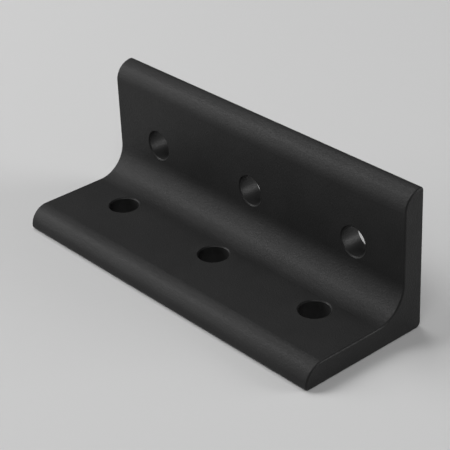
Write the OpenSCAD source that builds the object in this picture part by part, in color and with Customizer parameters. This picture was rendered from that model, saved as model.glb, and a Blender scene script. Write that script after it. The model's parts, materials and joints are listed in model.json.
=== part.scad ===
/*
  Inside corner bracket.
  One piece, cut from a rounded angle section. The base leg lies flat, the
  back leg stands up along the rear edge, and each leg has a row of bolt holes.
  X runs along the corner, Y from the base leg's tip towards the back face,
  and Z up. The origin is the middle of the footprint.
*/

/* [Section] */
// Depth of the base leg, from the back face to its tip
base_depth = 40; // [36:0.1:60]
// Height of the back leg, from the underside to its tip
back_height = 40; // [36:0.1:60]
// Thickness of the base leg
base_thickness = 6.35; // [4.5:0.05:6.5]
// Thickness of the back leg
back_thickness = 6.35; // [4.5:0.05:6.5]
// Radius of the fillet in the inner corner
inner_fillet = 8.7; // [2:0.1:9]
// Radius of the outer corner, where the two outer faces meet
heel_radius = 1.6; // [0.8:0.1:3]
// Radius at the outer edge of each tip
toe_radius = 1; // [0.6:0.05:1.2]

/* [Length] */
// Length of the bracket along the corner
bracket_length = 111.1; // [100:0.1:160]

/* [Bolt holes] */
// Diameter of every bolt hole
hole_diameter = 8.33; // [6:0.01:9]
// Distance from one hole of a row to the next
hole_pitch = 38.1; // [25:0.1:40]
// Number of holes in each row
holes_per_row = 3; // [1:1:3]
// Distance from the back face to the middle of the base leg's holes
base_row_offset = 20; // [19.7:0.05:24]
// Distance from the underside to the middle of the back leg's holes
back_row_offset = 20; // [19.7:0.05:24]

/* [Edge breaks] */
// Width of the bevel round both mouths of every hole
rim_break = 0.3; // [0.1:0.05:0.6]
// Width of the rounded edge round both sawn ends
end_break = 0.4; // [0.1:0.05:0.45]

/* [Hidden] */

// Fineness of the arcs
$fn = 96;

// How far each cutter runs past the surface that it leaves through
past = 0.1;

// The section is drawn with x where the bracket has Y, and y where it has Z
back_face = base_depth / 2;
back_inner = back_face - back_thickness;
base_tip = back_face - base_depth;

// The long round on each tip takes the rest of the leg's thickness
base_tip_round = base_thickness - toe_radius;
back_tip_round = back_thickness - toe_radius;

// The arc on an end's edge meets each face at a slight angle, as on a tumbled part.
// Its centre lies this far in from both faces
edge_centre = 1.25 * end_break;
edge_radius = sqrt(pow(edge_centre, 2) + pow(edge_centre - end_break, 2));

// Rounded outer corners: centre, radius, and the angle where the turn starts
TURNS = [
    [[back_face - heel_radius, heel_radius], heel_radius, 270],
    [[back_face - toe_radius, back_height - toe_radius], toe_radius, 0],
    [[back_inner + back_tip_round, back_height - back_tip_round], back_tip_round, 90],
    [[base_tip + base_tip_round, base_thickness - base_tip_round], base_tip_round, 90],
    [[base_tip + toe_radius, toe_radius], toe_radius, 180]
];

// The fillet turns the other way: its centre lies in the open corner
fillet_centre = [back_inner - inner_fillet, base_thickness + inner_fillet];
fillet_start = 270;

// Straight stretches between the turns: start, direction and length, metal on the left
RUNS = [
    [[base_tip + toe_radius, 0], 0, base_depth - toe_radius - heel_radius],
    [[back_face, heel_radius], 90, back_height - heel_radius - toe_radius],
    [
        [back_inner, back_height - back_tip_round],
        270,
        back_height - back_tip_round - base_thickness - inner_fillet
    ],
    [
        [back_inner - inner_fillet, base_thickness],
        180,
        base_depth - back_thickness - inner_fillet - base_tip_round
    ]
];

// The waste that rounds one square corner
module corner_waste(centre, radius, start) {
    translate(centre)
        rotate(start)
            difference() {
                square(radius + past);
                circle(radius);
            }
}

// Metal that fills the inner corner up to the fillet
module fillet_web() {
    difference() {
        translate([back_inner - inner_fillet, base_thickness - past])
            square(inner_fillet + past);
        translate(fillet_centre)
            circle(inner_fillet);
    }
}

// The closed outline that the bracket is cut from
module section() {
    difference() {
        union() {
            translate([base_tip, 0])
                square([base_depth, base_thickness]);
            translate([back_inner, 0])
                square([back_thickness, back_height]);
            fillet_web();
        }
        for (turn = TURNS)
            corner_waste(turn[0], turn[1], turn[2]);
    }
}

// Profile of the waste that rounds an edge. The edge is at zero, outside is towards +x
module edge_waste() {
    difference() {
        translate([-end_break, -end_break])
            square(end_break + past);
        translate([-edge_centre, -edge_centre])
            circle(edge_radius);
    }
}

// Rounded edge along a straight stretch of the end's outline
module run_edge(start, direction, length) {
    translate(start)
        rotate([90, 0, direction + 90])
            linear_extrude(length)
                mirror([1, 0])
                    edge_waste();
}

// Rounded edge about an outer corner of the end's outline
module turn_edge(centre, radius, start) {
    translate(centre)
        rotate(start)
            rotate_extrude(angle = 90)
                translate([radius, 0])
                    edge_waste();
}

// Rounded edge about the fillet, which is hollow
module fillet_edge() {
    translate(fillet_centre)
        rotate(fillet_start)
            rotate_extrude(angle = 90)
                translate([inner_fillet, 0])
                    mirror([1, 0])
                        edge_waste();
}

// All the waste that rounds one end's edges, for an end that faces +z at zero
module end_edges() {
    for (run = RUNS)
        run_edge(run[0], run[1], run[2]);
    for (turn = TURNS)
        turn_edge(turn[0], turn[1], turn[2]);
    fillet_edge();
}

// The plain length of section, with both ends rounded off, along +z from its middle
module cut_length() {
    difference() {
        linear_extrude(bracket_length, center = true)
            section();
        for (side = [0, 1])
            mirror([0, 0, side])
                translate([0, 0, bracket_length / 2])
                    end_edges();
    }
}

// A through hole that starts at zero and runs along +z, with both mouths bevelled
module bolt_hole(wall) {
    radius = hole_diameter / 2;
    translate([0, 0, -past])
        cylinder(h = wall + 2 * past, r = radius);
    for (side = [0, 1])
        translate([0, 0, side * wall])
            mirror([0, 0, side])
                translate([0, 0, -past])
                    cylinder(h = rim_break + past, r1 = radius + rim_break + past, r2 = radius);
}

// One leg's row of holes, centred on the length
module hole_row(wall) {
    first = -hole_pitch * (holes_per_row - 1) / 2;
    for (i = [0 : holes_per_row - 1])
        translate([first + i * hole_pitch, 0, 0])
            bolt_hole(wall);
}

// The whole bracket
module bracket() {
    color([0.15, 0.15, 0.155])
        difference() {
            rotate([90, 0, 90])
                cut_length();
            translate([0, back_face - base_row_offset, 0])
                hole_row(base_thickness);
            translate([0, back_face, back_row_offset])
                rotate([90, 0, 0])
                    hole_row(back_thickness);
        }
}

bracket();
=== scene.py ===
# %% [markdown]
# Inside corner bracket: a lesson in one finish.
#
# The real object is a short length of rounded aluminium angle. It is sawn off,
# drilled, blasted with fine beads and anodised black. It has one piece only, so
# nearly all of its look comes from three things: how soft its edges are, how its
# black skin scatters light, and where the lamps stand.
#
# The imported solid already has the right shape, soft edges and all, so it stays as it
# is. This lesson gives it a finish made from nodes, and lights it.

import json
import math

import bpy
from mathutils import Matrix, Vector


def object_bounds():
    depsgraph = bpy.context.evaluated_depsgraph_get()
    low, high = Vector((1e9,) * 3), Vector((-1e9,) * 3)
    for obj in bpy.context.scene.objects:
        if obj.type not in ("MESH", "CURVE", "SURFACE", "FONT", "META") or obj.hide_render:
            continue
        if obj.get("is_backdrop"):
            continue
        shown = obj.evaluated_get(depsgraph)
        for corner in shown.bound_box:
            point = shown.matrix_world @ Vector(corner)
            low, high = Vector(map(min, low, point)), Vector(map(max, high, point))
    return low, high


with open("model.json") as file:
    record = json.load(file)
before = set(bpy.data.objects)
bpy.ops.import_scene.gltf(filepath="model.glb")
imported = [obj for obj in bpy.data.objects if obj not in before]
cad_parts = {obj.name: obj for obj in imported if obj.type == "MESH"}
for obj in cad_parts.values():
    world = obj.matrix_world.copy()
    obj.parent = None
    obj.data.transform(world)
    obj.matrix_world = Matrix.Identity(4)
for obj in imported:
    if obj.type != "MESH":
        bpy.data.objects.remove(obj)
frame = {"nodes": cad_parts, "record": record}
bracket = frame["nodes"]["bracket"]
solid_low, solid_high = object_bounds()
MM = 0.001  # Blender works in metres, and so does this file unless a comment says mm

LENGTH = solid_high.x - solid_low.x
DEPTH = solid_high.y - solid_low.y
HEIGHT = solid_high.z - solid_low.z
print(f"bracket: {LENGTH / MM:.1f} x {DEPTH / MM:.1f} x {HEIGHT / MM:.1f} mm")

# %% [markdown]
# The holes are where the finish changes, so the nodes need to know where they are.
# They could be typed in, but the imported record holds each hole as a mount, with its
# place and its radius. Reading them there keeps the finish on the holes.

# %% Find the holes in the record
mounts = {mount["name"]: mount for mount in frame["record"]["mounts"]}
BASE_HOLE = Vector(mounts["base_hole_middle"]["pos_m"])
BACK_HOLE = Vector(mounts["back_hole_middle"]["pos_m"])
PITCH = mounts["base_hole_right"]["pos_m"][0] - BASE_HOLE.x
HOLE_RADIUS = mounts["base_hole_middle"]["dims"]["r_mm"] * MM
THICKNESS = 2 * BASE_HOLE.z  # a base hole's mount lies half way down the leg
print(f"holes: radius {HOLE_RADIUS / MM:.3f} mm, {PITCH / MM:.1f} mm apart")

# %% [markdown]
# The camera looks down on the bracket from its right front corner. It is written as
# a photographer would set a tripod: the point it is aimed at, the direction that it
# stands in, how far away it is and how much it leans. Azimuth 0 is straight in
# front of the open corner, and 90 is off the right end.
#
# It stands about 0.4 m away with a long lens, so the far end of the bracket is only
# a little smaller than the near one.

# %% Place the camera
AIM = Vector((3.81, 1.16, 16.24)) * MM
CAMERA_AZIMUTH = 49.64
CAMERA_ELEVATION = 29.81
CAMERA_ROLL = -2.61
CAMERA_DISTANCE = 0.4106
LENS = 125.93
NEAREST, FARTHEST = 0.01, 100


def direction(azimuth, elevation):
    """The unit vector from the bracket towards something at these two angles."""
    turn, rise = math.radians(azimuth), math.radians(elevation)
    return Vector(
        (math.sin(turn) * math.cos(rise), -math.cos(turn) * math.cos(rise), math.sin(rise))
    )


camera = bpy.data.objects.new("camera", bpy.data.cameras.new("camera"))
bpy.context.scene.collection.objects.link(camera)
outward = direction(CAMERA_AZIMUTH, CAMERA_ELEVATION)
aimed = (-outward).to_track_quat("-Z", "Y").to_matrix()
camera.matrix_world = (
    Matrix.Translation(AIM + outward * CAMERA_DISTANCE)
    @ (aimed @ Matrix.Rotation(math.radians(CAMERA_ROLL), 3, "Z")).to_4x4()
)
camera.data.lens = LENS
camera.data.clip_start, camera.data.clip_end = NEAREST, FARTHEST
bpy.context.scene.camera = camera
bpy.context.scene.view_settings.view_transform = "Standard"
print("camera at", [round(value, 3) for value in camera.matrix_world.translation])

# %% [markdown]
# A black object needs a pale, even place to stand in, or its edges are lost. The
# floor is one wide round sheet of matt paper. Lamps as near as these leave a far
# floor dark, and its edge would cut across every low view. So the sheet starts to
# fade a little past the bracket, and the pale room shows in its place.
#
# The floor lies a hair below the bracket, so that the two never share a face.

# %% Lay the floor
FLOOR_GAP = 0.02 * MM
FLOOR_RADIUS = 1.0
FLOOR_SIDES = 96

corners = [2 * math.pi * side / FLOOR_SIDES for side in range(FLOOR_SIDES)]
floor_mesh = bpy.data.meshes.new("floor")
floor_mesh.from_pydata(
    [(math.cos(a) * FLOOR_RADIUS, math.sin(a) * FLOOR_RADIUS, -FLOOR_GAP) for a in corners],
    [],
    [list(range(FLOOR_SIDES))],
)
floor = bpy.data.objects.new("floor", floor_mesh)
bpy.context.scene.collection.objects.link(floor)
floor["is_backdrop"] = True
print(f"floor: one face with {FLOOR_SIDES} sides, {FLOOR_RADIUS} m in radius")

# %% [markdown]
# The paper has no gloss at all, because a glossy floor shows each lamp as a bright
# patch in low views. Its opacity follows the distance from the middle of the floor:
# whole up to one radius, and nothing past another.

# %% Colour the floor
PAPER_COLOUR = (0.62, 0.62, 0.62, 1)
PAPER_ROUGHNESS = 0.95
FADE_FROM, FADE_TO = 0.28, 0.85
RANGE_INPUTS = ("From Min", "From Max", "To Min", "To Max")

paper = bpy.data.materials.new("pale_paper")
paper.use_nodes = True
paper_nodes, paper_links = paper.node_tree.nodes, paper.node_tree.links
paper_shader = paper_nodes["Principled BSDF"]
paper_shader.inputs["Base Color"].default_value = PAPER_COLOUR
paper_shader.inputs["Roughness"].default_value = PAPER_ROUGHNESS
paper_shader.inputs["Specular IOR Level"].default_value = 0
paper_place = paper_nodes.new("ShaderNodeTexCoord")
paper_distance = paper_nodes.new("ShaderNodeVectorMath")
paper_distance.operation = "LENGTH"
paper_fade = paper_nodes.new("ShaderNodeMapRange")
paper_fade.interpolation_type = "SMOOTHSTEP"
for name, number in zip(RANGE_INPUTS, (FADE_FROM, FADE_TO, 1, 0)):
    paper_fade.inputs[name].default_value = number
paper_links.new(paper_place.outputs["Object"], paper_distance.inputs[0])
paper_links.new(paper_distance.outputs["Value"], paper_fade.inputs["Value"])
paper_links.new(paper_fade.outputs["Result"], paper_shader.inputs["Alpha"])
floor.data.materials.append(paper)
print(f"paper: whole up to {FADE_FROM} m, gone at {FADE_TO} m")

# %% [markdown]
# Round the floor stands a pale room. It is a colour ramp on the sky, by height: pale
# at and below the horizon, where other views see it behind the bracket, and dim
# overhead, so that the lamps and not the room draw the light on the black skin.

# %% Make the room
ROOM_PALE = (0.60, 0.60, 0.60, 1)
ROOM_DIM = (0.07, 0.07, 0.07, 1)
PALE_UP_TO, DIM_FROM = 0.02, 0.20  # heights, where 0 is the horizon and 1 straight up

room = bpy.data.worlds.new("room")
bpy.context.scene.world = room
room.use_nodes = True
sky = room.node_tree
sky_place = sky.nodes.new("ShaderNodeTexCoord")
sky_parts = sky.nodes.new("ShaderNodeSeparateXYZ")
sky_ramp = sky.nodes.new("ShaderNodeValToRGB")
for stop, height, colour in zip(
    sky_ramp.color_ramp.elements, (PALE_UP_TO, DIM_FROM), (ROOM_PALE, ROOM_DIM)
):
    stop.position, stop.color = height, colour
sky.links.new(sky_place.outputs["Generated"], sky_parts.inputs[0])
sky.links.new(sky_parts.outputs["Z"], sky_ramp.inputs["Fac"])
sky.links.new(sky_ramp.outputs["Color"], sky.nodes["Background"].inputs["Color"])
print(f"room: {ROOM_PALE[0]} at the horizon, {ROOM_DIM[0]} overhead")

# %% [markdown]
# Six soft boxes light the bracket. Each is a square lamp that faces its middle.
# A lamp that is large for its distance gives the rounds a wide, soft highlight and
# the floor a shadow with no hard edge.
#
# Three of them stand in front on the left and draw the bright bands on the tips and
# in the corner. The left and top ones fill the flats. The rear one is larger and low,
# and lights the right end and the walls of the upright's holes.

# %% Hang the lamps
BRACKET_MIDDLE = (solid_low + solid_high) / 2
LAMP_DISTANCE = 1.2
LAMP_SIZE = 0.5
REAR_LAMP_SIZE = 0.62


def soft_box(name, azimuth, elevation, power, size=LAMP_SIZE):
    """A square lamp that stands off in this direction and faces the bracket's middle."""
    light = bpy.data.lights.new(name, "AREA")
    light.shape = "SQUARE"
    light.size = size
    light.energy = power
    lamp = bpy.data.objects.new(name, light)
    bpy.context.scene.collection.objects.link(lamp)
    towards = direction(azimuth, elevation)
    lamp.location = BRACKET_MIDDLE + towards * LAMP_DISTANCE
    lamp.rotation_mode = "QUATERNION"
    lamp.rotation_quaternion = towards.to_track_quat("Z", "Y")
    print(f"{name}: {power} W at azimuth {azimuth}, elevation {elevation}")


soft_box("key_lamp", -60, 45, 5.3)
soft_box("front_lamp", -60, 22, 2.3)
soft_box("low_lamp", -45, 12, 2.0)
soft_box("left_lamp", -110, 60, 3.8)
soft_box("top_lamp", 45, 60, 3.3)
soft_box("rear_right_lamp", 133, 16, 6.8, REAR_LAMP_SIZE)

# %% [markdown]
# The finish, step one: a value for each point of the surface, in millimetres. All of
# the patterns below are made in the bracket's own space, so they stay on the metal
# from any side. The three helpers keep the cells after this one short.

# %% Start the finish
finish = bpy.data.materials.new("black_anodised_skin")
finish.use_nodes = True
nodes = finish.node_tree.nodes
links = finish.node_tree.links
skin = nodes["Principled BSDF"]


def add(kind, **settings):
    """A new node with these settings."""
    node = nodes.new(kind)
    for name, value in settings.items():
        setattr(node, name, value)
    return node


def calculate(operation, *values):
    """The result of a Math node. Each value is a number or another node's output."""
    node = add("ShaderNodeMath", operation=operation)
    for socket, value in zip(node.inputs, values):
        if isinstance(value, (int, float)):
            socket.default_value = value
        else:
            links.new(value, socket)
    return node.outputs[0]


def ramp(value, start, stop, low=0.0, high=1.0):
    """From low where the value is at start, smoothly to high where it is at stop."""
    node = add("ShaderNodeMapRange", interpolation_type="SMOOTHSTEP")
    links.new(value, node.inputs["Value"])
    for name, number in zip(RANGE_INPUTS, (start, stop, low, high)):
        node.inputs[name].default_value = number
    return node.outputs["Result"]


in_mm = add("ShaderNodeVectorMath", operation="SCALE")
in_mm.inputs["Scale"].default_value = 1 / MM
links.new(add("ShaderNodeTexCoord").outputs["Object"], in_mm.inputs[0])
place_mm = in_mm.outputs[0]
place_parts = add("ShaderNodeSeparateXYZ")
links.new(place_mm, place_parts.inputs[0])
X, Y, Z = (place_parts.outputs[axis] for axis in "XYZ")
print(f"{finish.name}: {len(nodes)} nodes so far, with places in mm")

# %% [markdown]
# Step two: where each tool has been. The drill made the walls of the six holes, the
# saw made the two ends, and the rest is the skin that came out of the extrusion die.
# Each mask is 1 where its tool cut and 0 elsewhere.
#
# The holes repeat along X, so X is wrapped at the hole pitch first. One distance from
# a hole's axis then stands for a whole row of holes.

# %% Mask the drilled and the sawn metal
WALL_REACH = 0.05  # how far past the drill's radius the wall's finish runs, in mm
WALL_FADE = 0.25  # and over how much more it fades out, in mm
END_REACH = 0.35  # how deep the end's finish runs round its rounded edge, in mm

pitch_mm, radius_mm, half_length_mm = PITCH / MM, HOLE_RADIUS / MM, LENGTH / MM / 2
x_in_pitch = calculate("WRAP", X, pitch_mm / 2, -pitch_mm / 2)


def straight_distance(across, along):
    """The distance to a point that lies this far off in two directions."""
    squares = [calculate("MULTIPLY", value, value) for value in (across, along)]
    return calculate("SQRT", calculate("ADD", *squares))


base_distance = straight_distance(x_in_pitch, calculate("SUBTRACT", Y, BASE_HOLE.y / MM))
back_distance = straight_distance(x_in_pitch, calculate("SUBTRACT", Z, BACK_HOLE.z / MM))
hole_distance = calculate("MINIMUM", base_distance, back_distance)
wall_edge = radius_mm + WALL_REACH
on_wall = ramp(hole_distance, wall_edge, wall_edge + WALL_FADE, 1.0, 0.0)

end_edge = half_length_mm - END_REACH
on_end = ramp(calculate("ABSOLUTE", X), end_edge, half_length_mm)
print(f"walls: within {wall_edge:.2f} mm of an axis; ends: past {end_edge:.2f} mm")

# %% [markdown]
# Step three: the grain. Bead blasting covers the metal in shallow dimples, about half
# a millimetre wide, with finer ones between them. Two noise textures make them, as one
# alone looks like cloth or like water.
#
# Their sum is a height in millimetres. The blast hardly reaches into the holes, so
# the grain fades there.

# %% Make the grain
DIMPLES_PER_MM, DIMPLE_DEPTH = 2.2, 0.052  # depths are in mm
FINE_PER_MM, FINE_DEPTH = 5.5, 0.010
GRAIN_IN_HOLES = 0.25  # the share of the grain that is left on the walls


def noise(per_mm, detail=1.0, stretch=(1, 1, 1)):
    """Noise with this many features in a millimetre, from 0 to 1."""
    mapping = add("ShaderNodeMapping")
    mapping.inputs["Scale"].default_value = stretch
    texture = add("ShaderNodeTexNoise")
    texture.inputs["Scale"].default_value = per_mm
    texture.inputs["Detail"].default_value = detail
    links.new(place_mm, mapping.inputs["Vector"])
    links.new(mapping.outputs["Vector"], texture.inputs["Vector"])
    return texture.outputs["Fac"]


dimples = calculate("MULTIPLY", noise(DIMPLES_PER_MM), DIMPLE_DEPTH)
fine_dimples = calculate("MULTIPLY", noise(FINE_PER_MM), FINE_DEPTH)
blasted = ramp(on_wall, 0.0, 1.0, 1.0, GRAIN_IN_HOLES)
grain = calculate("MULTIPLY", calculate("ADD", dimples, fine_dimples), blasted)
print(f"grain: up to {DIMPLE_DEPTH + FINE_DEPTH:.3f} mm deep")

# %% [markdown]
# Step four: the tools' own marks, which the blast has nearly wiped out. The die draws
# long faint lines along the bracket. The drill leaves fine rings down each hole. The
# saw leaves shallow arcs across the ends, as wide as its big blade.
#
# Each is noise that changes in one direction only. The die lines are noise that is
# stretched along the length. The rings and the arcs are noise of a single number: the
# depth in the hole, and the distance from the middle of the blade.

# %% Make the tool marks
DIE_LINES_PER_MM, DIE_LINE_DEPTH = 3.0, 0.004  # depths are in mm
DIE_STRETCH = (0.015, 1, 1)
RINGS_PER_MM, RING_DEPTH = 3.5, 0.010
ARCS_PER_MM, ARC_DEPTH = 2.2, 0.012
BLADE_MIDDLE = (-70, -110)  # where the saw's axis ran, as Y and Z in mm
BASE_MARGIN = 1  # mm above the base leg that still count as the base leg


def lines(value, per_mm):
    """Ridges across the direction in which this value grows."""
    texture = add("ShaderNodeTexNoise", noise_dimensions="1D")
    texture.inputs["Scale"].default_value = per_mm
    texture.inputs["Detail"].default_value = 1.0
    links.new(value, texture.inputs["W"])
    return texture.outputs["Fac"]


def where(mask, marks, depth):
    """These marks, to this depth, where the mask is 1."""
    return calculate("MULTIPLY", marks, calculate("MULTIPLY", mask, depth))


on_skin = calculate("SUBTRACT", 1.0, calculate("MAXIMUM", on_wall, on_end))
drawn = noise(DIE_LINES_PER_MM, detail=2.0, stretch=DIE_STRETCH)
die_lines = where(on_skin, drawn, DIE_LINE_DEPTH)

# The depth in a hole is Z in the base leg and Y in the upright one
above_base = calculate("GREATER_THAN", Z, THICKNESS / MM + BASE_MARGIN)
from_z_to_y = calculate("MULTIPLY", above_base, calculate("SUBTRACT", Y, Z))
rings = where(on_wall, lines(calculate("ADD", Z, from_z_to_y), RINGS_PER_MM), RING_DEPTH)

blade_y, blade_z = BLADE_MIDDLE
blade_distance = straight_distance(
    calculate("SUBTRACT", Y, blade_y), calculate("SUBTRACT", Z, blade_z)
)
saw_arcs = where(on_end, lines(blade_distance, ARCS_PER_MM), ARC_DEPTH)
print(f"tool marks: at most {max(DIE_LINE_DEPTH, RING_DEPTH, ARC_DEPTH)} mm deep")

# %% [markdown]
# Step five: all the heights go into one bump node. It tilts the light on each dimple
# and changes no shape, and these marks are far too small to show as shape.

# %% Add the heights up
height = grain
for mark in (die_lines, rings, saw_arcs):
    height = calculate("ADD", height, mark)
bump = add("ShaderNodeBump")
bump.inputs["Strength"].default_value = 1.0
bump.inputs["Distance"].default_value = MM
links.new(height, bump.inputs["Height"])
links.new(bump.outputs["Normal"], skin.inputs["Normal"])
print(f"bump: one unit of height is {bump.inputs['Distance'].default_value / MM:.0f} mm")

# %% [markdown]
# Step six: the black itself. Anodising grows a clear, hard skin on the metal and fills
# it with black dye, so the surface acts like dark matte plastic and not like bare
# metal. Its dye takes a little unevenly, in soft clouds some centimetres wide. The
# walls of the holes are painted a lighter black. This is painted light, for the light
# that reaches into them.

# %% Dye the skin, and paint light on the hole walls
# The walls' value is painted light: a lighter black that stands in for the light reaching
# into the holes.
DYE, WALL_DYE_AND_PAINTED_LIGHT = 0.0115, 0.022  # the share of the light that comes back
CLOUDS_PER_MM, CLOUD_CHANGE = 0.09, 0.15
CLOUD_LOW, CLOUD_HIGH = 0.25, 0.75  # the part of the noise that the change runs over

clouds = noise(CLOUDS_PER_MM, detail=2.0)
cloudy = ramp(clouds, CLOUD_LOW, CLOUD_HIGH, 1 - CLOUD_CHANGE, 1 + CLOUD_CHANGE)
# Painted light: the colour grows lighter towards the hole walls.
dye_and_wall_light_level = calculate("MULTIPLY", cloudy, ramp(on_wall, 0.0, 1.0, DYE, WALL_DYE_AND_PAINTED_LIGHT))
dye_and_wall_light_colour = add("ShaderNodeCombineColor")
for channel in ("Red", "Green", "Blue"):
    links.new(dye_and_wall_light_level, dye_and_wall_light_colour.inputs[channel])
links.new(dye_and_wall_light_colour.outputs["Color"], skin.inputs["Base Color"])
print(f"dye: {DYE} on the skin, {WALL_DYE_AND_PAINTED_LIGHT} on the walls, {CLOUD_CHANGE:.0%} more or less")

# %% [markdown]
# The last step is the gloss. The blasted skin is rough, and roughest in small specks
# that give the highlights their sparkle. The sawn ends and the drilled walls are a
# little smoother, so the walls show the lamp behind the bracket as a bright spot.
#
# What is the same all over goes straight on the shader: how strongly the skin bends
# light, and how much of it shines. The dye fills the skin's pores, so it shines less
# than plain plastic would.

# %% Roughen the skin and put the finish on
SKIN_ROUGHNESS, WALL_ROUGHNESS, END_ROUGHNESS = 0.50, 0.46, 0.47
SPECKS_PER_MM, SPECK_CHANGE = 2.8, 0.06
SPECK_LOW, SPECK_HIGH = 0.3, 0.7  # the part of the noise that the change runs over
SKIN_IOR = 1.5
SHINE = 0.227

roughness = ramp(
    noise(SPECKS_PER_MM),
    SPECK_LOW,
    SPECK_HIGH,
    SKIN_ROUGHNESS - SPECK_CHANGE,
    SKIN_ROUGHNESS + SPECK_CHANGE,
)
for mask, level in ((on_wall, WALL_ROUGHNESS), (on_end, END_ROUGHNESS)):
    change = calculate("MULTIPLY", mask, level - SKIN_ROUGHNESS)
    roughness = calculate("ADD", roughness, change)
links.new(roughness, skin.inputs["Roughness"])
skin.inputs["IOR"].default_value = SKIN_IOR
skin.inputs["Specular IOR Level"].default_value = SHINE

for slot in bracket.material_slots:
    slot.material = finish
print(f"finish: {len(nodes)} nodes on {len(bracket.material_slots)} slot")

# %% [markdown]
# Last, the sizes. The finish never changes the bracket's size, so the two boxes
# should agree.

# %% Write the sizes down
final_low, final_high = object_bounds()
growth = max(abs(a - b) for a, b in zip([*solid_low, *solid_high], [*final_low, *final_high]))
print(f"the finished bracket differs from the solid by {growth / MM:.3f} mm at most")
